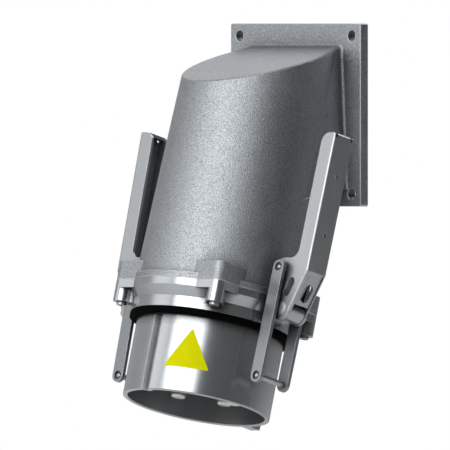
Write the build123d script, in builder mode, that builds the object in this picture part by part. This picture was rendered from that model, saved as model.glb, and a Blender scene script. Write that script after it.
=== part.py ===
from build123d import *
import os
from math import acos, atan2, cos, degrees, radians, sin, sqrt, tan

os.makedirs("parts", exist_ok=True)

# Angled wall housing with a five-pole pin and sleeve inlet and two draw levers.
# Millimetres. +Z is up, +X is to the right and -Y points away from the wall.
# The origin is the centre of the wall plate's back face.

# Wall plate
wall_hole_spacing = 158.3
wall_hole_radius = 5.5
wall_hole_margin = 12.35
plate_size = wall_hole_spacing + 2 * wall_hole_margin
plate_thickness = 10.5
plate_corner = 2.0

# Inlet axis: it leans out from the wall at the mouth
tilt = 15.0
mouth_reach = 151.7
mouth_drop = 293.0

# Levels along the inlet axis, measured up from the mouth
seal_level = 78.6
ring_level = 84.8
boss_level = 92.0
chamfer_start = 96.2
lug_plate_level = 105.3
chamfer_end = 106.3
joint_level = 113.8
flange_thickness = 6.7
lug_height = 19.5

# Inlet shell
sleeve_radius = 74.5
sleeve_wall = 4.7
rim_round = 1.2
ring_radius = 81.9
flange_radius = 86.5
lug_half = 74.5
lug_corner = 9.0
neck_width = 16.0
neck_length = 22.0
neck_fillet = 4.0
carrier_seat_radius = 74.0
carrier_seat_level = 92.0
mouth_chamfer = 1.0
screw_hole_radius = 3.3
keyway_depth = 5.6
keyway_root = 1.2
keyway_wall = 3.5
keyway_overrun = 3.0
key_rib_width = 12.0
key_rib_reach = 87.0
key_rib_length = 60.0

# Housing shell
cone_radius = 88.05
cone_taper = 0.03654
cone_reach = 420.0
casting_wall = 6.0
roof_height = 69.0
roof_slope = 14.5
roof_round = 3.0
block_top_half = 63.7
block_side_slope = 0.054
block_flare_slope = 0.09
block_bottom = -74.0
block_front = 5.0
block_foot_level = 215.0
block_overrun = 45.75
plate_fillet = 3.0
cable_width = 108.0
cable_height = 112.0
cable_corner = 12.0
cable_centre = -4.0
cable_overrun = 1.2

# Seals
face_seal_radius = 82.4
face_seal_round = 1.0
joint_groove_inner = 79.5
joint_groove_width = 4.5
joint_groove_depth = 2.0

# Contact carrier and contacts
carrier_face = 64.0
carrier_rear = 108.0
carrier_flange = 12.0
carrier_rear_radius = 64.0
carrier_clearance = 0.3
contact_circle_radius = 40.0
contact_count = 5
earth_angle = 21.3
contact_radius = 7.5
contact_tip = 13.0
earth_lead = 6.0
tip_round = 3.0
contact_boss_radius = 12.0
contact_boss_height = 5.0
shoulder_radius = 9.5
shoulder_level = 90.0
barrel_radius = 11.0
barrel_length = 34.0
barrel_bore = 7.0
barrel_bore_depth = 24.0
running_gap = 0.05
clip_groove = 0.8
clip_thickness = 1.2
clip_rim = 2.4
retainer_thickness = 2.4
retainer_groove = 2.6
retainer_grip = 1.8
retainer_width = 6.5
retainer_gap_angle = 14.0
retainer_overrun = 7.5
retainer_ear = 4.5
retainer_ear_hole = 1.5
retainer_ear_inset = 1.0

# Screws
flange_screw_radius = 3.0
flange_head_radius = 5.0
flange_head_height = 3.2
flange_screw_grip = 36.0
flange_socket_depth = 1.9
thread_relief = 2.0
terminal_screw_radius = 4.0
terminal_screw_inset = 8.0
terminal_screw_length = 9.0
terminal_socket_depth = 4.5
terminal_screw_stand = 1.0
thread_gap = 0.08
hex_share = 0.55

# Draw levers: folded channels hinged on the ring
pivot_out = 107.5
pivot_level = 100.0
nose_out = 100.5
nose_level = 141.2
lever_width = 27.3
lever_sheet = 3.0
lever_web_out = 136.8
lever_web_level = 210.0
lever_lean = 1.17
lever_depth = 18.0
lever_top = 282.0
lever_kink = 139.0
lever_tab_end = 105.0
lever_tab_recess = 1.2
lever_tab_gap = 0.4
lever_lip = 12.0
lever_bend = 3.0
lever_relief = 2.0
lever_overrun = 1.0
lever_top_round = 10.0
lever_top_cut = 2.5
lever_foot_radius = 12.0
nose_radius = 11.0
nose_fillet = 10.0
web_hole_radius = 2.25
web_hole_levels = (178.0, 239.0)
plate_slot_length = 20.5
plate_slot_width = 9.5
plate_slot_out = 112.8
plate_slot_level = 121.9
tab_slot_length = 19.5
tab_slot_width = 12.5
tab_slot_level = 117.5

# Hinge knuckles on the ring
knuckle_radius = 11.3
knuckle_side_gap = 0.2
knuckle_arm_half = 8.5
knuckle_arm_top = 113.0
knuckle_arm_foot = 86.3
knuckle_root = 79.9
pivot_pin_radius = 5.0
pivot_head_radius = 7.0
pivot_head_height = 1.1
pivot_crown_run = 2.6
pivot_crown_drop = 0.8

# Links and cross bars
link_width = 14.0
link_thickness = 6.0
link_outer = 21.4
bar_out = 97.7
bar_level = 28.6
link_pin_radius = 3.0
rivet_recess_radius = 4.5
rivet_recess_depth = 2.0
rivet_sink = 0.3
rivet_round = 2.5
spacer_radius = 5.5
spacer_gap = 0.15

# Frame of the inlet: x is across, y is towards the wall and z runs up the axis
tube = Plane(
    origin=(0, -mouth_reach, -mouth_drop),
    x_dir=(1, 0, 0),
    z_dir=(0, sin(radians(tilt)), cos(radians(tilt))),
)
tube_axis = Axis(tube.origin, tube.z_dir)
# Plane through the axis, facing away from the wall: x is across and y runs up the axis
meridian = Plane(origin=tube.origin, x_dir=(1, 0, 0), z_dir=-tube.y_dir)

sleeve_bore = sleeve_radius - sleeve_wall
lug_offset = lug_half - lug_corner
bolt_circle = lug_offset * sqrt(2)


def keyway(growth):
    """Outline of the V-shaped keyway in the sleeve's front, grown by this much."""
    depth = keyway_depth + growth * sqrt(2)
    mouth = sleeve_radius + keyway_overrun
    half = depth + keyway_overrun
    Polygon((0, depth - sleeve_radius), (half, -mouth), (-half, -mouth), align=None)


def cone_at(level):
    """Outer radius of the housing's cone at a level on the inlet axis."""
    return cone_radius - cone_taper * level


def block_half(height, distance):
    """Half width of the rear block at a height, a distance in front of the plate."""
    drop = roof_height - height
    return block_top_half + block_side_slope * drop + block_flare_slope * distance


def block_section(inset):
    """Corners of the block's far section on the plane just behind the inlet axis."""
    back = meridian.offset(-block_front)
    corners = []
    for level in (cone_reach, block_foot_level):
        point = back.from_local_coords((0, level, 0))
        half = block_half(point.Z, -plate_thickness - point.Y) - inset
        corners.append((half, level))
    (top_half, top), (foot_half, foot) = corners
    return back, [(-top_half, top), (top_half, top), (foot_half, foot), (-foot_half, foot)]


plate_front = Plane.XZ.offset(plate_thickness)
roof_plane = Plane(
    origin=(0, -plate_thickness, roof_height),
    x_dir=(1, 0, 0),
    z_dir=(0, -sin(radians(roof_slope)), cos(radians(roof_slope))),
)


def near_section(inset, foot):
    """Corners of the block's section on a plane parallel to the wall."""
    top = roof_height + block_overrun
    top_half = block_half(top, 0) - inset
    foot_half = block_half(foot, 0) - inset
    return [(-top_half, top), (top_half, top), (foot_half, foot), (-foot_half, foot)]


# Outer body of the cone and block, cut off by the sloping roof
with BuildPart() as body:
    with BuildSketch(meridian):
        with BuildLine():
            Polyline(
                (0, joint_level),
                (cone_at(joint_level), joint_level),
                (cone_at(cone_reach), cone_reach),
                (0, cone_reach),
                close=True,
            )
        make_face()
    revolve(axis=tube_axis)
    far_plane, far_corners = block_section(0)
    with BuildSketch(plate_front) as near:
        Polygon(*near_section(0, block_bottom), align=None)
    with BuildSketch(far_plane) as far:
        Polygon(*far_corners, align=None)
    loft(sections=[near.sketch, far.sketch], ruled=True)
    split(bisect_by=roof_plane, keep=Keep.BOTTOM)
    split(bisect_by=plate_front, keep=Keep.TOP)
    roof_edges = body.faces().filter_by(roof_plane).sort_by(SortBy.AREA)[-1].edges()
    fillet([e for e in roof_edges if e.center().Y < -plate_thickness - roof_round], roof_round)

# Hollow inside the casting, one wall thickness in from the outside
with BuildPart() as core:
    with BuildSketch(meridian):
        with BuildLine():
            Polyline(
                (0, joint_level),
                (cone_at(joint_level) - casting_wall, joint_level),
                (cone_at(cone_reach) - casting_wall, cone_reach),
                (0, cone_reach),
                close=True,
            )
        make_face()
    revolve(axis=tube_axis)
    far_plane, far_corners = block_section(casting_wall)
    with BuildSketch(plate_front) as near_hollow:
        Polygon(*near_section(casting_wall, block_bottom + 2 * casting_wall), align=None)
    with BuildSketch(far_plane) as far_hollow:
        Polygon(*far_corners, align=None)
    loft(sections=[near_hollow.sketch, far_hollow.sketch], ruled=True)
    split(bisect_by=roof_plane.offset(-casting_wall), keep=Keep.BOTTOM)
    split(bisect_by=plate_front.offset(casting_wall), keep=Keep.TOP)

# Housing: wall plate, block, cone, flange and four lugs cast in one
with BuildPart() as housing:
    with BuildSketch(Plane.XZ):
        RectangleRounded(plate_size, plate_size, plate_corner)
    extrude(amount=plate_thickness)
    add(body.part)
    junction = housing.edges().filter_by_position(Axis.Y, -plate_thickness, -plate_thickness)
    inner = plate_size / 2 - plate_corner
    junction = [e for e in junction if abs(e.center().X) < inner and abs(e.center().Z) < inner]
    fillet(ShapeList(junction).sort_by(Axis.Z)[1:], plate_fillet)
    with BuildSketch(tube.offset(joint_level)):
        Circle(flange_radius)
    extrude(amount=flange_thickness)
    with BuildSketch(tube.offset(joint_level)):
        RectangleRounded(2 * lug_half, 2 * lug_half, lug_corner)
    extrude(amount=lug_height)
    add(core.part, mode=Mode.SUBTRACT)
    with BuildSketch(Plane.XZ):
        with Locations((0, cable_centre)):
            RectangleRounded(cable_width, cable_height, cable_corner)
    extrude(amount=plate_thickness + casting_wall + cable_overrun, mode=Mode.SUBTRACT)
    with BuildSketch(Plane.XZ):
        with GridLocations(wall_hole_spacing, wall_hole_spacing, 2, 2):
            Circle(wall_hole_radius)
    extrude(amount=plate_thickness, mode=Mode.SUBTRACT)
    with BuildSketch(tube.offset(joint_level)):
        with PolarLocations(bolt_circle, 4, start_angle=45):
            Circle(flange_screw_radius + thread_gap)
    extrude(amount=flange_screw_grip - (joint_level - boss_level) + thread_relief, mode=Mode.SUBTRACT)
housing.part.label = "housing"
export_step(housing.part, "parts/housing.step")

# Inlet shell: sleeve, ring, lugs, hinge knuckles and key rib cast in one
knuckle_half = lever_width / 2 - lever_sheet - knuckle_side_gap
retainer_level = carrier_seat_level + carrier_flange
with BuildPart() as inlet_shell:
    with BuildSketch(meridian) as wall:
        with BuildLine():
            Polyline(
                (0, 0),
                (sleeve_radius, 0),
                (sleeve_radius, ring_level),
                (ring_radius, ring_level),
                (ring_radius, chamfer_start),
                (flange_radius, chamfer_end),
                (flange_radius, joint_level),
                (0, joint_level),
                close=True,
            )
        make_face()
        fillet(wall.vertices().sort_by(Axis.Y).group_by(Axis.Y)[0].sort_by(Axis.X)[-1], rim_round)
    revolve(axis=tube_axis)
    with BuildSketch(tube.offset(lug_plate_level)):
        RectangleRounded(2 * lug_half, 2 * lug_half, lug_corner)
    extrude(amount=joint_level - lug_plate_level)
    with BuildSketch(tube.offset(boss_level)) as bosses:
        Circle(ring_radius)
        with PolarLocations(bolt_circle, 4, start_angle=45):
            Circle(lug_corner)
        with PolarLocations(bolt_circle - neck_length / 2, 4, start_angle=45):
            Rectangle(neck_length, neck_width)
        necks = [
            v
            for v in bosses.vertices()
            if abs(sqrt(v.X**2 + v.Y**2) - ring_radius) < 0.01
            and abs(abs(v.X) - abs(v.Y)) < neck_width
        ]
        fillet(necks, neck_fillet)
    extrude(amount=lug_plate_level - boss_level)
    with BuildSketch(meridian):
        for side in (-1, 1):
            with Locations((side * pivot_out, pivot_level)):
                Circle(knuckle_radius)
            with BuildLine():
                Polyline(
                    (side * knuckle_root, knuckle_arm_top),
                    (side * pivot_out, pivot_level + knuckle_arm_half),
                    (side * pivot_out, pivot_level - knuckle_arm_half),
                    (side * knuckle_root, knuckle_arm_foot),
                    close=True,
                )
            make_face()
    extrude(amount=knuckle_half, both=True)
    with BuildSketch(tube):
        with Locations((0, (key_rib_reach + sleeve_radius - sleeve_wall / 2) / 2)):
            Rectangle(key_rib_width, key_rib_reach - sleeve_radius + sleeve_wall / 2)
    extrude(amount=key_rib_length)
    with BuildSketch(meridian):
        with BuildLine():
            Polyline(
                (0, 0),
                (sleeve_bore + mouth_chamfer, 0),
                (sleeve_bore, mouth_chamfer),
                (sleeve_bore, carrier_seat_level),
                (carrier_seat_radius, carrier_seat_level),
                (carrier_seat_radius, retainer_level),
                (carrier_seat_radius + retainer_grip, retainer_level),
                (carrier_seat_radius + retainer_grip, retainer_level + retainer_groove),
                (carrier_seat_radius, retainer_level + retainer_groove),
                (carrier_seat_radius, joint_level),
                (0, joint_level),
                close=True,
            )
        make_face()
    revolve(axis=tube_axis, mode=Mode.SUBTRACT)
    with BuildSketch(tube) as lining:
        keyway(keyway_wall)
        fillet(lining.vertices().sort_by(Axis.Y)[-1], keyway_root + keyway_wall)
        Circle(sleeve_radius - rim_round, mode=Mode.INTERSECT)
    extrude(amount=seal_level)
    with BuildSketch(tube) as groove:
        keyway(0)
        fillet(groove.vertices().sort_by(Axis.Y)[-1], keyway_root)
    extrude(amount=seal_level, mode=Mode.SUBTRACT)
    with BuildSketch(tube.offset(joint_level)):
        Circle(joint_groove_inner + joint_groove_width)
        Circle(joint_groove_inner, mode=Mode.SUBTRACT)
    extrude(amount=-joint_groove_depth, mode=Mode.SUBTRACT)
    with BuildSketch(tube.offset(boss_level)):
        with PolarLocations(bolt_circle, 4, start_angle=45):
            Circle(screw_hole_radius)
    extrude(amount=joint_level - boss_level, mode=Mode.SUBTRACT)
    with BuildSketch(meridian):
        with Locations((-pivot_out, pivot_level), (pivot_out, pivot_level)):
            Circle(pivot_pin_radius + running_gap)
    extrude(amount=lever_width / 2, both=True, mode=Mode.SUBTRACT)
inlet_shell.part.label = "inlet_shell"
export_step(inlet_shell.part, "parts/inlet_shell.step")

# Rubber face seal round the root of the sleeve
with BuildPart() as face_seal:
    with BuildSketch(tube.offset(seal_level)):
        Circle(face_seal_radius)
        Circle(sleeve_radius + running_gap, mode=Mode.SUBTRACT)
    extrude(amount=ring_level - seal_level)
    rims = face_seal.edges().filter_by(GeomType.CIRCLE).sort_by(SortBy.RADIUS)[-2:]
    fillet(rims, face_seal_round)
face_seal.part.label = "face_seal"
export_step(face_seal.part, "parts/face_seal.step")

# Flat seal in the ring's top face, against the housing
with BuildPart() as joint_seal:
    with BuildSketch(tube.offset(joint_level - joint_groove_depth)):
        Circle(joint_groove_inner + joint_groove_width - running_gap)
        Circle(joint_groove_inner + running_gap, mode=Mode.SUBTRACT)
    extrude(amount=joint_groove_depth)
joint_seal.part.label = "joint_seal"
export_step(joint_seal.part, "parts/joint_seal.step")

# Insulating carrier that holds the contacts
contact_places = PolarLocations(contact_circle_radius, contact_count, start_angle=earth_angle)
contact_front = carrier_face - contact_boss_height
with BuildPart() as contact_carrier:
    with BuildSketch(meridian):
        with BuildLine():
            Polyline(
                (0, carrier_face),
                (sleeve_bore - carrier_clearance, carrier_face),
                (sleeve_bore - carrier_clearance, carrier_seat_level),
                (carrier_seat_radius - carrier_clearance, carrier_seat_level),
                (carrier_seat_radius - carrier_clearance, retainer_level),
                (carrier_rear_radius, retainer_level),
                (carrier_rear_radius, carrier_rear),
                (0, carrier_rear),
                close=True,
            )
        make_face()
    revolve(axis=tube_axis)
    with BuildSketch(tube.offset(contact_front)):
        with contact_places:
            Circle(contact_boss_radius)
    extrude(amount=contact_boss_height)
    with BuildSketch(tube.offset(contact_front)):
        with contact_places:
            Circle(contact_radius + running_gap)
    extrude(amount=carrier_rear - contact_front, mode=Mode.SUBTRACT)
    with BuildSketch(tube.offset(shoulder_level)):
        with contact_places:
            Circle(shoulder_radius + running_gap)
    extrude(amount=carrier_rear - shoulder_level, mode=Mode.SUBTRACT)
    with BuildSketch(tube.offset(carrier_face)):
        keyway(keyway_wall + carrier_clearance)
    extrude(amount=seal_level + carrier_clearance - carrier_face, mode=Mode.SUBTRACT)
contact_carrier.part.label = "contact_carrier"
export_step(contact_carrier.part, "parts/contact_carrier.step")

# Spring retaining ring that keeps the carrier on its seat
with BuildPart() as retaining_ring:
    with BuildSketch(tube.offset(retainer_level + running_gap)):
        outer = carrier_seat_radius + retainer_grip - 2 * running_gap
        inner = outer - retainer_width
        Circle(outer)
        Circle(inner, mode=Mode.SUBTRACT)
        past = outer + retainer_overrun
        opening = past * tan(radians(retainer_gap_angle / 2))
        Polygon((0, 0), (past, -opening), (past, opening), align=None, mode=Mode.SUBTRACT)
        ear_turn = retainer_gap_angle / 2 + degrees(atan2(retainer_ear, inner))
        ears = PolarLocations(inner + retainer_ear_inset, 2, start_angle=-ear_turn, angular_range=4 * ear_turn)
        with ears:
            Circle(retainer_ear)
        with ears:
            Circle(retainer_ear_hole, mode=Mode.SUBTRACT)
    extrude(amount=retainer_thickness)
retaining_ring.part.label = "retaining_ring"
export_step(retaining_ring.part, "parts/retaining_ring.step")

# Contacts with their terminal barrels; the earth pin is the longest
barrel_top = carrier_rear + barrel_length
screw_level = barrel_top - terminal_screw_inset
contact_names = ("earth_pin", "phase_pin_1", "phase_pin_2", "phase_pin_3", "neutral_pin")
contact_feet = [tube.from_local_coords(tuple(place.position)) for place in contact_places]
for foot, name in zip(contact_feet, contact_names):
    profile_plane = Plane(origin=foot, x_dir=meridian.x_dir, z_dir=meridian.z_dir)
    tip = contact_tip - (earth_lead if name == "earth_pin" else 0)
    neck = contact_radius - clip_groove
    with BuildPart() as contact:
        with BuildSketch(profile_plane) as profile:
            with BuildLine():
                Polyline(
                    (0, tip),
                    (contact_radius, tip),
                    (contact_radius, contact_front - clip_thickness),
                    (neck, contact_front - clip_thickness),
                    (neck, contact_front),
                    (contact_radius, contact_front),
                    (contact_radius, shoulder_level),
                    (shoulder_radius, shoulder_level),
                    (shoulder_radius, carrier_rear),
                    (barrel_radius, carrier_rear),
                    (barrel_radius, barrel_top),
                    (barrel_bore, barrel_top),
                    (barrel_bore, barrel_top - barrel_bore_depth),
                    (0, barrel_top - barrel_bore_depth),
                    close=True,
                )
            make_face()
            nose = profile.vertices().group_by(Axis.Y)[0].sort_by(Axis.X)[-1]
            fillet(nose, tip_round)
        revolve(axis=Axis(foot, tube.z_dir))
        outward = (foot - tube.origin).normalized()
        with BuildSketch(Plane(origin=foot + tube.z_dir * screw_level, z_dir=outward)):
            Circle(terminal_screw_radius + thread_gap)
        extrude(amount=2 * barrel_radius, mode=Mode.SUBTRACT)
    contact.part.label = name
    export_step(contact.part, f"parts/{name}.step")

# Open rings in the contacts' grooves, which hold them in the carrier
with BuildPart() as contact_clips:
    with BuildSketch(tube.offset(contact_front - clip_thickness + running_gap)):
        with contact_places:
            Circle(contact_radius + clip_rim)
        with contact_places:
            Circle(contact_radius - clip_groove + running_gap, mode=Mode.SUBTRACT)
        with PolarLocations(contact_circle_radius + contact_radius, contact_count, start_angle=earth_angle):
            Rectangle(contact_radius, contact_radius, mode=Mode.SUBTRACT)
    extrude(amount=clip_thickness - 2 * running_gap)
contact_clips.part.label = "contact_clips"
export_step(contact_clips.part, "parts/contact_clips.step")


def hex_socket(radius):
    """Hexagonal recess for a screw of this head radius, cut from the sketch plane."""
    RegularPolygon(hex_share * radius, 6)


# Set screws in the terminal barrels
with BuildPart() as terminal_screws:
    for foot in contact_feet:
        outward = (foot - tube.origin).normalized()
        centre = foot + tube.z_dir * screw_level
        start = centre + outward * (barrel_radius + terminal_screw_stand)
        with BuildSketch(Plane(origin=start, z_dir=outward)):
            Circle(terminal_screw_radius)
        extrude(amount=-terminal_screw_length)
        with BuildSketch(Plane(origin=start, z_dir=outward)):
            hex_socket(terminal_screw_radius)
        extrude(amount=-terminal_socket_depth, mode=Mode.SUBTRACT)
terminal_screws.part.label = "terminal_screws"
export_step(terminal_screws.part, "parts/terminal_screws.step")

# Four cap screws that hold the inlet shell to the housing, put in from below
with BuildPart() as flange_screws:
    with BuildSketch(tube.offset(boss_level)):
        with PolarLocations(bolt_circle, 4, start_angle=45):
            Circle(flange_head_radius)
    extrude(amount=-flange_head_height)
    with BuildSketch(tube.offset(boss_level)):
        with PolarLocations(bolt_circle, 4, start_angle=45):
            Circle(flange_screw_radius)
    extrude(amount=flange_screw_grip)
    with BuildSketch(tube.offset(boss_level - flange_head_height)):
        with PolarLocations(bolt_circle, 4, start_angle=45):
            hex_socket(flange_head_radius)
    extrude(amount=flange_socket_depth, mode=Mode.SUBTRACT)
flange_screws.part.label = "flange_screws"
export_step(flange_screws.part, "parts/flange_screws.step")


def tangent(start, start_radius, end, end_radius, side):
    """Touch points of the straight line along one side of two circles."""
    across, up = end[0] - start[0], end[1] - start[1]
    turn = atan2(up, across) + side * acos((start_radius - end_radius) / sqrt(across**2 + up**2))
    near = (start[0] + start_radius * cos(turn), start[1] + start_radius * sin(turn))
    far = (end[0] + end_radius * cos(turn), end[1] + end_radius * sin(turn))
    return near, far


def web_at(level, depth=0.0):
    """Distance out of the lever's web at a level, or of a line this deep behind it."""
    return lever_web_out + tan(radians(lever_lean)) * (level - lever_web_level) - depth


def inward(point, direction, distance):
    """A point moved square to a downward direction, towards the inlet."""
    return (point[0] + distance * direction[1], point[1] - distance * direction[0])


# Right draw lever: a channel folded from sheet, its tab bent in below the kink
pivot = (pivot_out, pivot_level)
nose_pin = (nose_out, nose_level)
kink = (web_at(lever_kink), lever_kink)
plate_start = lever_width / 2 - lever_sheet
foot_touch = tangent(kink, 0, pivot, lever_foot_radius, 1)[1]
tab_length = sqrt((kink[0] - foot_touch[0]) ** 2 + (kink[1] - foot_touch[1]) ** 2)
tab_down = ((foot_touch[0] - kink[0]) / tab_length, (foot_touch[1] - kink[1]) / tab_length)
tab_reach = (lever_kink - lever_tab_end) / -tab_down[1]


def along_tab(distance, depth):
    """A point along the bent tab, this deep behind the side plates' lower edge."""
    point = (kink[0] + distance * tab_down[0], kink[1] + distance * tab_down[1])
    return inward(point, tab_down, depth)


with BuildPart() as lever:
    nose_top = nose_level + nose_radius
    nose_in, foot_in = tangent(nose_pin, nose_radius, pivot, lever_foot_radius, -1)
    with BuildSketch(meridian.offset(plate_start)) as plate:
        Polygon(
            (web_at(lever_top), lever_top),
            (web_at(lever_top, lever_depth), lever_top),
            (web_at(nose_top, lever_depth), nose_top),
            (nose_out, nose_top),
            nose_pin,
            nose_in,
            foot_in,
            pivot,
            foot_touch,
            kink,
            align=None,
        )
        top_corner = plate.vertices().sort_by_distance((web_at(lever_top, lever_depth), lever_top, 0))[0]
        fillet(top_corner, lever_top_round)
        throat = plate.vertices().sort_by_distance((web_at(nose_top, lever_depth), nose_top, 0))[0]
        fillet(throat, nose_fillet)
        with Locations(nose_pin):
            Circle(nose_radius)
        with Locations(pivot):
            Circle(lever_foot_radius)
    extrude(amount=lever_sheet)
    mirror(about=meridian)
    with BuildSketch(meridian) as web:
        Polygon(
            kink,
            (web_at(lever_top), lever_top),
            (web_at(lever_top, lever_lip), lever_top),
            (web_at(lever_top, lever_lip), lever_top - lever_sheet),
            (web_at(lever_top, lever_sheet), lever_top - lever_sheet),
            (web_at(lever_kink, lever_sheet), lever_kink),
            align=None,
        )
        fillet(web.vertices().sort_by_distance((web_at(lever_top), lever_top, 0))[0], lever_bend)
    extrude(amount=plate_start, both=True)
    with BuildSketch(meridian):
        Polygon(
            kink,
            (web_at(lever_kink, lever_sheet), lever_kink),
            along_tab(0, lever_tab_recess + lever_sheet),
            along_tab(tab_reach, lever_tab_recess + lever_sheet),
            along_tab(tab_reach, lever_tab_recess),
            along_tab(2 * lever_tab_recess, lever_tab_recess),
            align=None,
        )
    extrude(amount=plate_start - lever_tab_gap, both=True)
    folds = [
        e
        for e in lever.edges().filter_by(GeomType.LINE)
        if e.length > lever_top - lever_web_level
        and e.center().X > web_at(lever_web_level, lever_overrun)
        and abs(e.tangent_at(0).X) < 0.1
    ]
    bend = lever_bend - running_gap
    fillet(folds, bend)
    tab_across = Plane(
        origin=meridian.from_local_coords((*kink, 0)),
        x_dir=meridian.z_dir,
        z_dir=meridian.x_dir * tab_down[0] + meridian.y_dir * tab_down[1],
    )
    with BuildSketch(tab_across):
        with Locations((-lever_width / 2, 0), (lever_width / 2, 0)):
            Rectangle(2 * bend, 2 * bend)
        with Locations((bend - lever_width / 2, bend), (lever_width / 2 - bend, bend)):
            Circle(bend, mode=Mode.SUBTRACT)
    extrude(amount=tab_length, mode=Mode.SUBTRACT)
    for start, run in ((plate_start, lever_sheet), (-plate_start, -lever_sheet)):
        with BuildSketch(meridian.offset(start)):
            Polygon(
                (web_at(lever_top), lever_top),
                (web_at(lever_top, lever_top_cut), lever_top),
                (web_at(lever_top), lever_top - lever_top_cut),
                align=None,
            )
        extrude(amount=run, mode=Mode.SUBTRACT)
    relief_out = web_at(lever_top, lever_sheet + lever_overrun)
    with BuildSketch(Plane(tube.origin, x_dir=tube.y_dir, z_dir=(1, 0, 0)).offset(relief_out)):
        for side in (-1, 1):
            with Locations((side * plate_start, lever_top - lever_sheet)):
                Circle(lever_relief)
            with Locations((side * plate_start, lever_top)):
                Rectangle(2 * lever_relief, 2 * lever_sheet)
    extrude(amount=lever_sheet * 2, mode=Mode.SUBTRACT)
    with BuildSketch(Plane(tube.origin, x_dir=tube.y_dir, z_dir=(1, 0, 0))):
        for level in web_hole_levels:
            with Locations((0, level)):
                Circle(web_hole_radius)
    extrude(amount=2 * lever_web_out, mode=Mode.SUBTRACT)
    with BuildSketch(meridian):
        with Locations(pivot):
            Circle(pivot_pin_radius + running_gap)
        with Locations(nose_pin):
            Circle(link_pin_radius + running_gap)
        with Locations((plate_slot_out, plate_slot_level)):
            SlotOverall(plate_slot_length, plate_slot_width, rotation=degrees(atan2(tab_down[1], tab_down[0])))
    extrude(amount=lever_width / 2, both=True, mode=Mode.SUBTRACT)
    slot_place = along_tab((lever_kink - tab_slot_level) / -tab_down[1], lever_tab_recess)
    slot_plane = Plane(
        origin=meridian.from_local_coords((*slot_place, 0)),
        x_dir=meridian.x_dir * tab_down[0] + meridian.y_dir * tab_down[1],
        z_dir=meridian.x_dir * -tab_down[1] + meridian.y_dir * tab_down[0],
    )
    with BuildSketch(slot_plane):
        SlotOverall(tab_slot_length, tab_slot_width)
    extrude(amount=lever_sheet + lever_overrun, both=True, mode=Mode.SUBTRACT)

# Pivot pin through the lever and the knuckle, with low domed heads
pin_reach = lever_width / 2 + pivot_head_height
with BuildPart() as pivot_pin:
    foot = meridian.from_local_coords((*pivot, 0))
    with BuildSketch(Plane(foot, x_dir=meridian.x_dir, z_dir=meridian.y_dir)):
        with BuildLine():
            Polyline(
                (0, -pin_reach),
                (pivot_head_radius - pivot_crown_run, -pin_reach),
                (pivot_head_radius, pivot_crown_drop - pin_reach),
                (pivot_head_radius, -lever_width / 2),
                (pivot_pin_radius, -lever_width / 2),
                (pivot_pin_radius, lever_width / 2),
                (pivot_head_radius, lever_width / 2),
                (pivot_head_radius, pin_reach - pivot_crown_drop),
                (pivot_head_radius - pivot_crown_run, pin_reach),
                (0, pin_reach),
                close=True,
            )
        make_face()
    revolve(axis=Axis(foot, meridian.z_dir))

# Flat links from the lever's nose down to the cross bar
bar = (bar_out, bar_level)
link_run = sqrt((bar[0] - nose_pin[0]) ** 2 + (bar[1] - nose_pin[1]) ** 2)
link_turn = degrees(atan2(bar[1] - nose_pin[1], bar[0] - nose_pin[0]))
link_middle = ((bar[0] + nose_pin[0]) / 2, (bar[1] + nose_pin[1]) / 2)
with BuildPart() as link_front:
    with BuildSketch(meridian.offset(link_outer - link_thickness)):
        with Locations(link_middle):
            SlotCenterToCenter(link_run, link_width, rotation=link_turn)
        with Locations(nose_pin, bar):
            Circle(link_pin_radius + running_gap, mode=Mode.SUBTRACT)
    extrude(amount=link_thickness)
    with BuildSketch(meridian.offset(link_outer)):
        with Locations(nose_pin, bar):
            Circle(rivet_recess_radius)
    extrude(amount=-rivet_recess_depth, mode=Mode.SUBTRACT)
with BuildPart() as link_rear:
    mirror(link_front.part, about=meridian)


# Round bars across both links, their ends domed inside the recesses
rivet_reach = link_outer - rivet_sink
rivets = {}
for name, place in (("link_pin", nose_pin), ("cross_bar", bar)):
    with BuildPart() as rivet:
        with BuildSketch(meridian):
            with Locations(place):
                Circle(link_pin_radius)
        extrude(amount=rivet_reach, both=True)
        fillet(rivet.edges().filter_by(GeomType.CIRCLE), rivet_round)
    rivets[name] = rivet.part

# Washers between the lever's nose and the links
with BuildPart() as link_washers:
    with BuildSketch(meridian.offset(lever_width / 2 + spacer_gap)):
        with Locations(nose_pin):
            Circle(spacer_radius)
            Circle(link_pin_radius + running_gap, mode=Mode.SUBTRACT)
    extrude(amount=link_outer - link_thickness - lever_width / 2 - spacer_gap)
    mirror(about=meridian)


def write_pair(stem, part, ending=""):
    """Write the right-hand piece and its mirror image on the left."""
    with BuildPart() as right:
        add(part)
    right.part.label = f"{stem}_right{ending}"
    export_step(right.part, f"parts/{stem}_right{ending}.step")
    with BuildPart() as left:
        mirror(part, about=Plane.YZ)
    left.part.label = f"{stem}_left{ending}"
    export_step(left.part, f"parts/{stem}_left{ending}.step")


write_pair("lever", lever.part)
write_pair("pivot_pin", pivot_pin.part)
write_pair("link", link_front.part, "_front")
write_pair("link", link_rear.part, "_rear")
for name, part in rivets.items():
    write_pair(name, part)
write_pair("link_washers", link_washers.part)
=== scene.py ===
from math import cos, pi, radians, sin, sqrt

import bpy
from mathutils import Matrix, Vector


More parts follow.
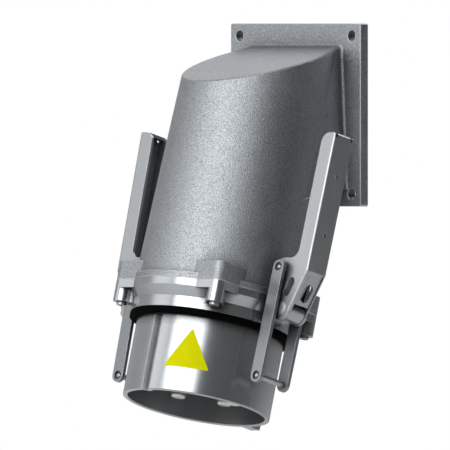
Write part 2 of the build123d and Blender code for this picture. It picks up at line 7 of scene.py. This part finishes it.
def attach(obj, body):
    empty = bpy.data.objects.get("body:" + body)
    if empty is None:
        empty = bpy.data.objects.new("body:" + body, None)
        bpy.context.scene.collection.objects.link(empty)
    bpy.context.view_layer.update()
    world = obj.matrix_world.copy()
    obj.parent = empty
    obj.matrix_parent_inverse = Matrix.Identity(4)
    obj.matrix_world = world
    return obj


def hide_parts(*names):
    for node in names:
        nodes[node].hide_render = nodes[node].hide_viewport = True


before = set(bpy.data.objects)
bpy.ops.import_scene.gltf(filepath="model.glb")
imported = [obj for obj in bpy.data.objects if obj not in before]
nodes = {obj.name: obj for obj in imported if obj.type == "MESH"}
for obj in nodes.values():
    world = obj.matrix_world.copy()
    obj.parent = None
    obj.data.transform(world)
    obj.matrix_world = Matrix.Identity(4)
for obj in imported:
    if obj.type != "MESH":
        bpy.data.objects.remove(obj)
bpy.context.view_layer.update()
print("frame loaded:", len(nodes), "nodes")

# the inlet's own axes: it leans out from the wall at the mouth
inlet = {
    "mouth": Vector((0.0, -0.1517, -0.293)),
    "tilt": radians(15.0),
    "sleeveRadius": 0.0745,
}
axisUp = Vector((0.0, sin(inlet["tilt"]), cos(inlet["tilt"])))
axisFront = Vector((0.0, -cos(inlet["tilt"]), sin(inlet["tilt"])))
axisRight = Vector((1.0, 0.0, 0.0))


# shading: a shared colour and helpers for nodes and groups
white = (1.0, 1.0, 1.0, 1.0)


# a value names an attribute of the node or, with underscores for spaces, one of its sockets
def addNode(tree, kind, place, **values):
    node = tree.nodes.new(kind)
    node.location = place
    for name, value in values.items():
        if hasattr(node, name):
            setattr(node, name, value)
        else:
            node.inputs[name.replace("_", " ")].default_value = value
    return node


def newGroup(name, inputs, outputs):
    group = bpy.data.node_groups.new(name, "ShaderNodeTree")
    for label, kind, value in inputs:
        socket = group.interface.new_socket(name=label, in_out="INPUT", socket_type=kind)
        if value is not None:
            socket.default_value = value
    for label, kind in outputs:
        group.interface.new_socket(name=label, in_out="OUTPUT", socket_type=kind)
    enter = group.nodes.new("NodeGroupInput")
    enter.location = (-900, 0)
    leave = group.nodes.new("NodeGroupOutput")
    leave.location = (700, 0)
    return group, enter, leave


def useGroup(tree, group, place, **values):
    node = tree.nodes.new("ShaderNodeGroup")
    node.node_tree = group
    node.location = place
    for name, value in values.items():
        node.inputs[name].default_value = value
    return node


def mixColours(tree, place, dark, light):
    mix = tree.nodes.new("ShaderNodeMix")
    mix.data_type = "RGBA"
    mix.location = place
    mix.inputs["A"].default_value = dark
    mix.inputs["B"].default_value = light
    return mix


# grain: fine and coarse noise with pits, for a cast, rolled or moulded skin
grainShape = {
    "fineDetail": 3.0,
    "fineRoughness": 0.62,
    "coarseDetail": 4.0,
    "coarseRoughness": 0.5,
    "pitsPerGrain": 1.1,
    "speckStart": 0.32,
    "speckEnd": 0.68,
    "blotchStart": 0.25,
    "blotchEnd": 0.75,
}


def buildGrain():
    group, enter, leave = newGroup(
        "skinGrain",
        [("Size", "NodeSocketFloat", 800.0), ("Blotch", "NodeSocketFloat", 60.0)],
        [("Height", "NodeSocketFloat"), ("Fine", "NodeSocketFloat"), ("Tone", "NodeSocketFloat")],
    )
    place = addNode(group, "ShaderNodeTexCoord", (-900, -300))
    fine = addNode(
        group, "ShaderNodeTexNoise", (-600, 200),
        Detail=grainShape["fineDetail"], Roughness=grainShape["fineRoughness"],
    )
    coarse = addNode(
        group, "ShaderNodeTexNoise", (-600, -150),
        Detail=grainShape["coarseDetail"], Roughness=grainShape["coarseRoughness"],
    )
    pits = addNode(group, "ShaderNodeTexVoronoi", (-600, -500))
    pitScale = addNode(group, "ShaderNodeMath", (-800, -550), operation="MULTIPLY")
    pitScale.inputs[1].default_value = grainShape["pitsPerGrain"]
    link = group.links.new
    link(place.outputs["Object"], fine.inputs["Vector"])
    link(place.outputs["Object"], coarse.inputs["Vector"])
    link(place.outputs["Object"], pits.inputs["Vector"])
    link(enter.outputs["Size"], fine.inputs["Scale"])
    link(enter.outputs["Size"], pitScale.inputs[0])
    link(pitScale.outputs[0], pits.inputs["Scale"])
    link(enter.outputs["Blotch"], coarse.inputs["Scale"])
    both = addNode(group, "ShaderNodeMath", (-300, 0), operation="ADD")
    link(fine.outputs["Fac"], both.inputs[0])
    link(pits.outputs["Distance"], both.inputs[1])
    link(both.outputs[0], leave.inputs["Height"])
    link(fine.outputs["Fac"], leave.inputs["Fine"])
    link(coarse.outputs["Fac"], leave.inputs["Tone"])
    return group


# edges: rounded shading, a mask where handling has polished them that also paints a highlight on them, and
# one for painted shade in inner corners
edgeShape = {
    "samples": 6,
    "flatDot": 0.998,
    "sharpDot": 0.94,
    "openShare": 0.93,
}


def buildEdges():
    group, enter, leave = newGroup(
        "softEdges",
        [
            ("Radius", "NodeSocketFloat", 0.0006),
            ("Reach", "NodeSocketFloat", 0.02),
            ("Closed", "NodeSocketFloat", 0.35),
        ],
        [("Normal", "NodeSocketVector"), ("Edge", "NodeSocketFloat"), ("Crevice", "NodeSocketFloat")],
    )
    bevel = addNode(group, "ShaderNodeBevel", (-600, 100), samples=edgeShape["samples"])
    surface = addNode(group, "ShaderNodeNewGeometry", (-600, -200))
    dot = addNode(group, "ShaderNodeVectorMath", (-300, -50), operation="DOT_PRODUCT")
    mask = addNode(
        group, "ShaderNodeMapRange", (0, -50), From_Min=edgeShape["flatDot"], From_Max=edgeShape["sharpDot"]
    )
    # ambient occlusion gives the mask for painted shade in inner corners
    shelter = addNode(group, "ShaderNodeAmbientOcclusion", (-600, -450), samples=edgeShape["samples"])
    crevice = addNode(group, "ShaderNodeMapRange", (0, -400), From_Min=edgeShape["openShare"])
    link = group.links.new
    link(enter.outputs["Radius"], bevel.inputs["Radius"])
    link(bevel.outputs["Normal"], dot.inputs[0])
    link(surface.outputs["Normal"], dot.inputs[1])
    link(dot.outputs["Value"], mask.inputs["Value"])
    link(bevel.outputs["Normal"], leave.inputs["Normal"])
    link(mask.outputs["Result"], leave.inputs["Edge"])
    link(enter.outputs["Reach"], shelter.inputs["Distance"])
    link(shelter.outputs["AO"], crevice.inputs["Value"])
    link(enter.outputs["Closed"], crevice.inputs["From Max"])
    link(crevice.outputs["Result"], leave.inputs["Crevice"])
    return group


# turned: fine rings round the inlet's axis, left by a lathe
ringShape = {
    "distortion": 0.6,
    "detail": 2.0,
    "detailScale": 3.0,
}


def buildTurned():
    group, enter, leave = newGroup(
        "turnedRings",
        [("Pitch", "NodeSocketFloat", 900.0)],
        [("Height", "NodeSocketFloat")],
    )
    place = addNode(group, "ShaderNodeTexCoord", (-900, 0))
    turn = addNode(group, "ShaderNodeMapping", (-700, 0))
    turn.inputs["Rotation"].default_value = (inlet["tilt"], 0.0, 0.0)
    rings = addNode(
        group, "ShaderNodeTexWave", (-400, 0), bands_direction="Z", Distortion=ringShape["distortion"],
        Detail=ringShape["detail"], Detail_Scale=ringShape["detailScale"],
    )
    link = group.links.new
    link(place.outputs["Object"], turn.inputs["Vector"])
    link(turn.outputs["Vector"], rings.inputs["Vector"])
    link(enter.outputs["Pitch"], rings.inputs["Scale"])
    link(rings.outputs["Fac"], leave.inputs["Height"])
    return group


skinGrain = buildGrain()
softEdges = buildEdges()
turnedRings = buildTurned()


# one finish: specks and blotches in the tone, edges lightened by wear and a painted highlight, painted shade
# in inner corners, grain and rings in the relief
def metalFinish(name, look):
    material = bpy.data.materials.new(name)
    material.use_nodes = True
    tree = material.node_tree
    shader = tree.nodes["Principled BSDF"]
    shader.inputs["Metallic"].default_value = look["metallic"]
    shader.inputs["Specular IOR Level"].default_value = look["specular"]
    grain = useGroup(tree, skinGrain, (-900, 0), Size=look["grainSize"], Blotch=look["blotchSize"])
    edges = useGroup(
        tree, softEdges, (-900, -300),
        Radius=look["edgeRadius"], Reach=look["creviceReach"], Closed=look["creviceClosed"],
    )
    speck = addNode(
        tree, "ShaderNodeMapRange", (-650, 200),
        From_Min=grainShape["speckStart"], From_Max=grainShape["speckEnd"],
    )
    tone = mixColours(tree, (-400, 250), look["dark"], look["light"])
    blotch = mixColours(tree, (-200, 300), (look["blotch"],) * 3 + (1.0,), white)
    stain = mixColours(tree, (0, 250), white, white)
    stain.blend_type = "MULTIPLY"
    stain.inputs["Factor"].default_value = 1.0
    # edges lightened: partly worn metal, partly a painted highlight
    wearAndSheen = mixColours(tree, (180, 200), white, look["wornAndSheen"])
    wornAndSheen = addNode(tree, "ShaderNodeMath", (0, 0), operation="MULTIPLY")
    wornAndSheen.inputs[1].default_value = look["wearAndSheen"]
    # inner corners darkened by the occlusion mask: painted shade
    cornerShade = mixColours(tree, (380, 300), white, (look["paintedShade"],) * 3 + (1.0,))
    paintedShade = mixColours(tree, (560, 250), white, white)
    paintedShade.blend_type = "MULTIPLY"
    paintedShade.inputs["Factor"].default_value = 1.0
    rough = addNode(
        tree, "ShaderNodeMapRange", (-200, -100),
        From_Min=grainShape["blotchStart"], From_Max=grainShape["blotchEnd"],
    )
    rough.inputs["To Min"].default_value = look["rough"] - look["roughSpread"]
    rough.inputs["To Max"].default_value = look["rough"] + look["roughSpread"]
    bump = addNode(tree, "ShaderNodeBump", (0, -250), Strength=look["bump"], Distance=look["bumpDepth"])
    link = tree.links.new
    link(grain.outputs["Fine"], speck.inputs["Value"])
    link(speck.outputs["Result"], tone.inputs["Factor"])
    link(grain.outputs["Tone"], blotch.inputs["Factor"])
    link(tone.outputs["Result"], stain.inputs["A"])
    link(blotch.outputs["Result"], stain.inputs["B"])
    link(stain.outputs["Result"], wearAndSheen.inputs["A"])
    link(edges.outputs["Edge"], wornAndSheen.inputs[0])
    link(wornAndSheen.outputs[0], wearAndSheen.inputs["Factor"])
    link(edges.outputs["Crevice"], cornerShade.inputs["Factor"])
    link(wearAndSheen.outputs["Result"], paintedShade.inputs["A"])
    link(cornerShade.outputs["Result"], paintedShade.inputs["B"])
    link(paintedShade.outputs["Result"], shader.inputs["Base Color"])
    link(grain.outputs["Tone"], rough.inputs["Value"])
    link(rough.outputs["Result"], shader.inputs["Roughness"])
    link(edges.outputs["Normal"], bump.inputs["Normal"])
    if look.get("ringPitch"):
        rings = useGroup(tree, turnedRings, (-900, -550), Pitch=look["ringPitch"])
        both = addNode(tree, "ShaderNodeMath", (-250, -350), operation="MULTIPLY_ADD")
        both.inputs[1].default_value = look["ringShare"]
        link(rings.outputs["Height"], both.inputs[0])
        link(grain.outputs["Height"], both.inputs[2])
        link(both.outputs[0], bump.inputs["Height"])
    else:
        link(grain.outputs["Height"], bump.inputs["Height"])
    link(bump.outputs["Normal"], shader.inputs["Normal"])
    return material


def dress(names, material):
    for name in names:
        piece = nodes[name]
        piece.data.materials.clear()
        piece.data.materials.append(material)


# cast housing
castLook = {
    "dark": (0.225, 0.242, 0.257, 1.0),
    "light": (0.55, 0.58, 0.61, 1.0),
    "wornAndSheen": (0.78, 0.79, 0.8, 1.0),
    "wearAndSheen": 0.9,
    "blotch": 0.9,
    "metallic": 0.85,
    "specular": 0.5,
    "rough": 0.39,
    "roughSpread": 0.05,
    "paintedShade": 0.32,
    "creviceReach": 0.02,
    "creviceClosed": 0.42,
    "grainSize": 880.0,
    "blotchSize": 45.0,
    "edgeRadius": 0.0018,
    "bump": 0.7,
    "bumpDepth": 0.0004,
}
castAluminium = metalFinish("castAluminium", castLook)
dress(["housing"], castAluminium)

# machined inlet shell
shellLook = {
    "dark": (0.425, 0.447, 0.466, 1.0),
    "light": (0.475, 0.497, 0.516, 1.0),
    "wornAndSheen": (0.55, 0.56, 0.57, 1.0),
    "wearAndSheen": 0.25,
    "blotch": 0.95,
    "metallic": 0.85,
    "specular": 0.5,
    "rough": 0.25,
    "roughSpread": 0.02,
    "paintedShade": 0.2,
    "creviceReach": 0.013,
    "creviceClosed": 0.68,
    "grainSize": 1400.0,
    "blotchSize": 35.0,
    "edgeRadius": 0.0004,
    "bump": 0.03,
    "bumpDepth": 0.0002,
    "ringPitch": 500.0,
    "ringShare": 0.8,
}
machinedAluminium = metalFinish("machinedAluminium", shellLook)
dress(["inlet_shell"], machinedAluminium)

# zinc-plated sheet, bars and pins
sides = ("right", "left")
plateLook = {
    "dark": (0.392, 0.412, 0.428, 1.0),
    "light": (0.49, 0.512, 0.53, 1.0),
    "wornAndSheen": (0.9, 0.91, 0.92, 1.0),
    "wearAndSheen": 0.8,
    "blotch": 0.92,
    "metallic": 0.8,
    "specular": 0.5,
    "rough": 0.38,
    "roughSpread": 0.05,
    "paintedShade": 0.25,
    "creviceReach": 0.022,
    "creviceClosed": 0.4,
    "grainSize": 1100.0,
    "blotchSize": 80.0,
    "edgeRadius": 0.0005,
    "bump": 0.1,
    "bumpDepth": 0.0002,
}
zincSheet = metalFinish("zincSheet", plateLook)
dress([f"lever_{side}" for side in sides], zincSheet)
# the links get a darker copy of the sheet's zinc: painted shade
shadedLinkLook = dict(
    plateLook,
    dark=(0.245, 0.258, 0.268, 1.0),
    light=(0.315, 0.33, 0.342, 1.0),
    wornAndSheen=(0.7, 0.71, 0.72, 1.0),
)
zincLinkShaded = metalFinish("zincLinkShaded", shadedLinkLook)
dress([f"link_{side}_{end}" for side in sides for end in ("front", "rear")], zincLinkShaded)

boltLook = dict(
    plateLook,
    dark=(0.42, 0.43, 0.44, 1.0),
    light=(0.55, 0.56, 0.57, 1.0),
    rough=0.3,
    metallic=0.7,
)
zincBolt = metalFinish("zincBolt", boltLook)
for side in sides:
    dress([f"link_pin_{side}", f"cross_bar_{side}", f"link_washers_{side}"], zincBolt)
dress(["flange_screws", "terminal_screws", "retaining_ring", "contact_clips"], zincBolt)

pinLook = dict(plateLook, rough=0.55)
zincPin = metalFinish("zincPin", pinLook)
dress([f"pivot_pin_{side}" for side in sides], zincPin)

# silver-plated contacts
contactLook = dict(
    plateLook,
    dark=(0.76, 0.74, 0.7, 1.0),
    light=(0.85, 0.83, 0.79, 1.0),
    wornAndSheen=(0.8, 0.72, 0.5, 1.0),
    rough=0.25,
    ringPitch=650.0,
    ringShare=0.4,
)
platedContact = metalFinish("platedContact", contactLook)
contacts = ["earth_pin", "phase_pin_1", "phase_pin_2", "phase_pin_3", "neutral_pin"]
dress(contacts, platedContact)

# rubber seals and the moulded carrier
rubberLook = dict(
    plateLook,
    dark=(0.001, 0.001, 0.001, 1.0),
    light=(0.0022, 0.0022, 0.0022, 1.0),
    wornAndSheen=(0.004, 0.004, 0.004, 1.0),
    rough=0.85,
    metallic=0.0,
    specular=0.03,
    bump=0.2,
    edgeRadius=0.0004,
)
blackRubber = metalFinish("blackRubber", rubberLook)
dress(["face_seal", "joint_seal"], blackRubber)

carrierLook = dict(
    rubberLook,
    dark=(0.02, 0.02, 0.022, 1.0),
    light=(0.03, 0.03, 0.033, 1.0),
    wornAndSheen=(0.06, 0.06, 0.06, 1.0),
    rough=0.5,
    specular=0.4,
    grainSize=1600.0,
    bump=0.12,
)
mouldedCarrier = metalFinish("mouldedCarrier", carrierLook)
dress(["contact_carrier"], mouldedCarrier)
print("finishes on the CAD pieces")


# modelling helpers

def clearSelection():
    if bpy.context.mode != "OBJECT":
        bpy.ops.object.mode_set(mode="OBJECT")
    bpy.ops.object.select_all(action="DESELECT")


def bakeDown(piece, *modifiers):
    clearSelection()
    piece.select_set(True)
    bpy.context.view_layer.objects.active = piece
    for name in modifiers:
        bpy.ops.object.modifier_apply(modifier=name)
    bpy.ops.object.transform_apply(location=True, rotation=True, scale=True)


# linkage: the links are thinner than their solids, and the bars' shoulders and the spacers reach out to them
linkage = {
    "solidPlane": 0.0154,
    "planeSpread": 0.0006,
    "thinning": 0.002,
    "mergeGap": 0.000002,
    "smoothBelow": radians(35),
}


def buildLinkage(name, material):
    piece = bpy.data.objects.new(name + "_slim", nodes[name].data.copy())
    bpy.context.scene.collection.objects.link(piece)
    clearSelection()
    piece.select_set(True)
    bpy.context.view_layer.objects.active = piece
    bpy.ops.object.mode_set(mode="EDIT")
    bpy.ops.mesh.select_all(action="SELECT")
    bpy.ops.mesh.remove_doubles(threshold=linkage["mergeGap"])
    bpy.ops.mesh.customdata_custom_splitnormals_clear()
    for side in (1.0, -1.0):
        bpy.ops.mesh.select_mode(type="VERT")
        bpy.ops.mesh.select_all(action="DESELECT")
        bpy.ops.object.mode_set(mode="OBJECT")
        for vertex in piece.data.vertices:
            reach = side * axisFront.dot(vertex.co - inlet["mouth"])
            vertex.select = abs(reach - linkage["solidPlane"]) < linkage["planeSpread"]
        bpy.ops.object.mode_set(mode="EDIT")
        bpy.ops.transform.translate(value=axisFront * side * linkage["thinning"])
    bpy.ops.object.mode_set(mode="OBJECT")
    piece.data.materials.clear()
    piece.data.materials.append(material)
    bpy.ops.object.shade_smooth_by_angle(angle=linkage["smoothBelow"])
    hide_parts(name)
    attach(piece, "links_" + ("right" if "right" in name else "left"))


for side in sides:
    for stem in ("front", "rear"):
        buildLinkage(f"link_{side}_{stem}", zincLinkShaded)
    for stem in ("cross_bar", "link_washers"):
        buildLinkage(f"{stem}_{side}", zincBolt)
print("links, bars and spacers")

# plain yellow patch on the sleeve: a flat triangle, shrunk onto the round
patchLook = {
    "turn": radians(57.8),
    "level": 0.0387,
    "side": 0.0465,
    "cornerCut": 0.0014,
    "cuts": 48,
    "gridShare": 2.2,
    "startGap": 0.004,
    "filmGap": 0.00003,
    "thickness": 0.00018,
    "smoothBelow": radians(30),
    "yellow": (0.75, 0.74, 0.0, 1.0),
    "faded": (0.69, 0.68, 0.0, 1.0),
    "rough": 0.7,
    "specular": 0.05,
    "grainSize": 1500.0,
    "blotchSize": 120.0,
    "bump": 0.08,
    "bumpDepth": 0.0001,
}


def buildPatchFinish():
    material = bpy.data.materials.new("yellowFilm")
    material.use_nodes = True
    tree = material.node_tree
    shader = tree.nodes["Principled BSDF"]
    shader.inputs["Roughness"].default_value = patchLook["rough"]
    shader.inputs["Specular IOR Level"].default_value = patchLook["specular"]
    grain = useGroup(
        tree, skinGrain, (-700, 0), Size=patchLook["grainSize"], Blotch=patchLook["blotchSize"]
    )
    tone = mixColours(tree, (-300, 100), patchLook["faded"], patchLook["yellow"])
    bump = addNode(
        tree, "ShaderNodeBump", (-300, -200), Strength=patchLook["bump"], Distance=patchLook["bumpDepth"]
    )
    tree.links.new(grain.outputs["Tone"], tone.inputs["Factor"])
    tree.links.new(tone.outputs["Result"], shader.inputs["Base Color"])
    tree.links.new(grain.outputs["Height"], bump.inputs["Height"])
    tree.links.new(bump.outputs["Normal"], shader.inputs["Normal"])
    return material


def buildPatch():
    outward = axisRight * cos(patchLook["turn"]) + axisFront * sin(patchLook["turn"])
    across = axisUp.cross(outward)
    centre = inlet["mouth"] + axisUp * patchLook["level"]
    start = centre + outward * (inlet["sleeveRadius"] + patchLook["startGap"])
    place = Matrix((across, axisUp, outward)).transposed().to_4x4()
    place.translation = start
    reach = patchLook["side"] / sqrt(3.0)
    clearSelection()
    bpy.ops.mesh.primitive_grid_add(
        x_subdivisions=patchLook["cuts"],
        y_subdivisions=patchLook["cuts"],
        size=patchLook["gridShare"] * reach,
    )
    patch = bpy.context.object
    patch.name = "yellow_patch"
    bpy.ops.object.mode_set(mode="EDIT")
    for step in range(3):
        edgeTurn = -pi / 2 + step * 2 * pi / 3
        cornerTurn = edgeTurn + pi
        for turn, distance in ((edgeTurn, reach / 2), (cornerTurn, reach - patchLook["cornerCut"])):
            side = Vector((cos(turn), sin(turn), 0.0))
            bpy.ops.mesh.select_all(action="SELECT")
            bpy.ops.mesh.bisect(plane_co=side * distance, plane_no=side, clear_outer=True)
    bpy.ops.object.mode_set(mode="OBJECT")
    patch.matrix_world = place
    bpy.context.view_layer.update()
    wrap = patch.modifiers.new("wrap", "SHRINKWRAP")
    wrap.target = nodes["inlet_shell"]
    wrap.wrap_method = "PROJECT"
    wrap.use_project_z = True
    wrap.use_negative_direction = True
    wrap.use_positive_direction = False
    wrap.wrap_mode = "ABOVE_SURFACE"
    wrap.offset = patchLook["filmGap"]
    film = patch.modifiers.new("film", "SOLIDIFY")
    film.thickness = patchLook["thickness"]
    film.offset = 1.0
    bakeDown(patch, "wrap", "film")
    patch.data.materials.append(buildPatchFinish())
    clearSelection()
    patch.select_set(True)
    bpy.context.view_layer.objects.active = patch
    bpy.ops.object.shade_smooth_by_angle(angle=patchLook["smoothBelow"])
    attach(patch, "inlet")


buildPatch()
print("yellow patch on the sleeve")

# studio: pale floor, a small white backdrop behind the object, soft panels round it and a glow from the left
studio = {
    "target": Vector((-0.0553, -0.0553, -0.110)),
    "viewTurn": radians(45.0),
    "cameraDistance": 0.9,
    "frameWidth": 0.45,
    "floorLevel": -0.38,
    "floorSize": 8.0,
    "floorTone": 0.9,
    "backdropDistance": 3.2,
    "backdropSize": 0.52,
    "backdropTone": 0.9,
    "backdropGlow": 1.0,
    "sceneryRough": 0.9,
    "glowWay": (-0.94, -0.34, 0.0),
    "glowStart": -0.1,
    "glowEnd": 0.7,
    "leftGlow": 0.43,
    "rightGlow": 0.05,
    "panels": {  # direction as turn from the right and rise, then distance, width, height and power
        "keyLight": (radians(74.5), radians(26), 1.6, 1.41, 0.9, 16.0),
        "fillLight": (radians(125), radians(16), 1.7, 0.9, 1.2, 3.6),
        "rearLight": (radians(214), radians(42), 1.6, 1.1, 0.8, 2.8),
        "topLight": (radians(45), radians(85), 1.8, 1.2, 1.2, 6.0),
        "edgeLight": (radians(272), radians(42), 1.3, 0.7, 0.5, 4.5),
    },
}


def plainFinish(name, colour, glow):
    material = bpy.data.materials.new(name)
    material.use_nodes = True
    tree = material.node_tree
    shader = tree.nodes["Principled BSDF"]
    shader.inputs["Base Color"].default_value = (colour, colour, colour, 1.0)
    shader.inputs["Roughness"].default_value = studio["sceneryRough"]
    # the glow shows only to the camera and in reflections
    if glow:
        light = addNode(tree, "ShaderNodeEmission", (-100, 300), Strength=glow)
        rays = addNode(tree, "ShaderNodeLightPath", (-500, 300))
        camera = addNode(tree, "ShaderNodeMath", (-300, 400), operation="MAXIMUM")
        seen = addNode(tree, "ShaderNodeMath", (-100, 500), operation="MAXIMUM")
        blend = addNode(tree, "ShaderNodeMixShader", (200, 200))
        output = tree.nodes["Material Output"]
        tree.links.new(rays.outputs["Is Camera Ray"], camera.inputs[0])
        tree.links.new(rays.outputs["Is Glossy Ray"], camera.inputs[1])
        tree.links.new(camera.outputs[0], seen.inputs[0])
        tree.links.new(rays.outputs["Is Transmission Ray"], seen.inputs[1])
        tree.links.new(seen.outputs[0], blend.inputs[0])
        tree.links.new(shader.outputs[0], blend.inputs[1])
        tree.links.new(light.outputs[0], blend.inputs[2])
        tree.links.new(blend.outputs[0], output.inputs["Surface"])
    return material


def addPanel(name, turn, rise, distance, width, height, power):
    light = bpy.data.lights.new(name, "AREA")
    light.shape = "RECTANGLE"
    light.size = width
    light.size_y = height
    light.energy = power
    lamp = bpy.data.objects.new(name, light)
    bpy.context.scene.collection.objects.link(lamp)
    way = Vector((cos(turn) * cos(rise), -sin(turn) * cos(rise), sin(rise)))
    lamp.location = studio["target"] + way * distance
    lamp.rotation_euler = (-way).to_track_quat("-Z", "Y").to_euler()
    lamp.visible_camera = False


def buildWorld():
    world = bpy.data.worlds.new("studioWorld")
    world.use_nodes = True
    tree = world.node_tree
    place = addNode(tree, "ShaderNodeTexCoord", (-900, 0))
    side = addNode(tree, "ShaderNodeVectorMath", (-700, 0), operation="DOT_PRODUCT")
    side.inputs[1].default_value = studio["glowWay"]
    shade = addNode(
        tree, "ShaderNodeMapRange", (-500, 0), From_Min=studio["glowStart"], From_Max=studio["glowEnd"]
    )
    shade.inputs["To Min"].default_value = studio["rightGlow"]
    shade.inputs["To Max"].default_value = studio["leftGlow"]
    tree.links.new(place.outputs["Generated"], side.inputs[0])
    tree.links.new(side.outputs["Value"], shade.inputs["Value"])
    tree.links.new(shade.outputs["Result"], tree.nodes["Background"].inputs["Color"])
    bpy.context.scene.world = world


def buildStudio():
    scene = bpy.context.scene
    viewWay = Vector((sin(studio["viewTurn"]), -cos(studio["viewTurn"]), 0.0))
    clearSelection()
    bpy.ops.mesh.primitive_plane_add(
        size=studio["floorSize"], location=(0.0, 0.0, studio["floorLevel"])
    )
    floor = bpy.context.object
    floor.name = "floor"
    floor.data.materials.append(plainFinish("paleFloor", studio["floorTone"], 0.0))
    clearSelection()
    backdropPlace = studio["target"] - viewWay * studio["backdropDistance"]
    backdropPlace.z = studio["floorLevel"] + studio["backdropSize"] / 2
    bpy.ops.mesh.primitive_plane_add(
        size=studio["backdropSize"],
        location=backdropPlace,
        rotation=(pi / 2, 0.0, studio["viewTurn"]),
    )
    backdrop = bpy.context.object
    backdrop.name = "backdrop"
    backdrop.data.materials.append(
        plainFinish("whiteBackdrop", studio["backdropTone"], studio["backdropGlow"])
    )
    for name, panel in studio["panels"].items():
        addPanel(name, *panel)
    buildWorld()
    lens = bpy.data.cameras.new("camera")
    lens.type = "ORTHO"
    lens.ortho_scale = studio["frameWidth"]
    camera = bpy.data.objects.new("camera", lens)
    scene.collection.objects.link(camera)
    camera.location = studio["target"] + viewWay * studio["cameraDistance"]
    camera.rotation_euler = (pi / 2, 0.0, studio["viewTurn"])
    scene.camera = camera
    scene.view_settings.view_transform = "Standard"


buildStudio()
print("studio, lights and camera")
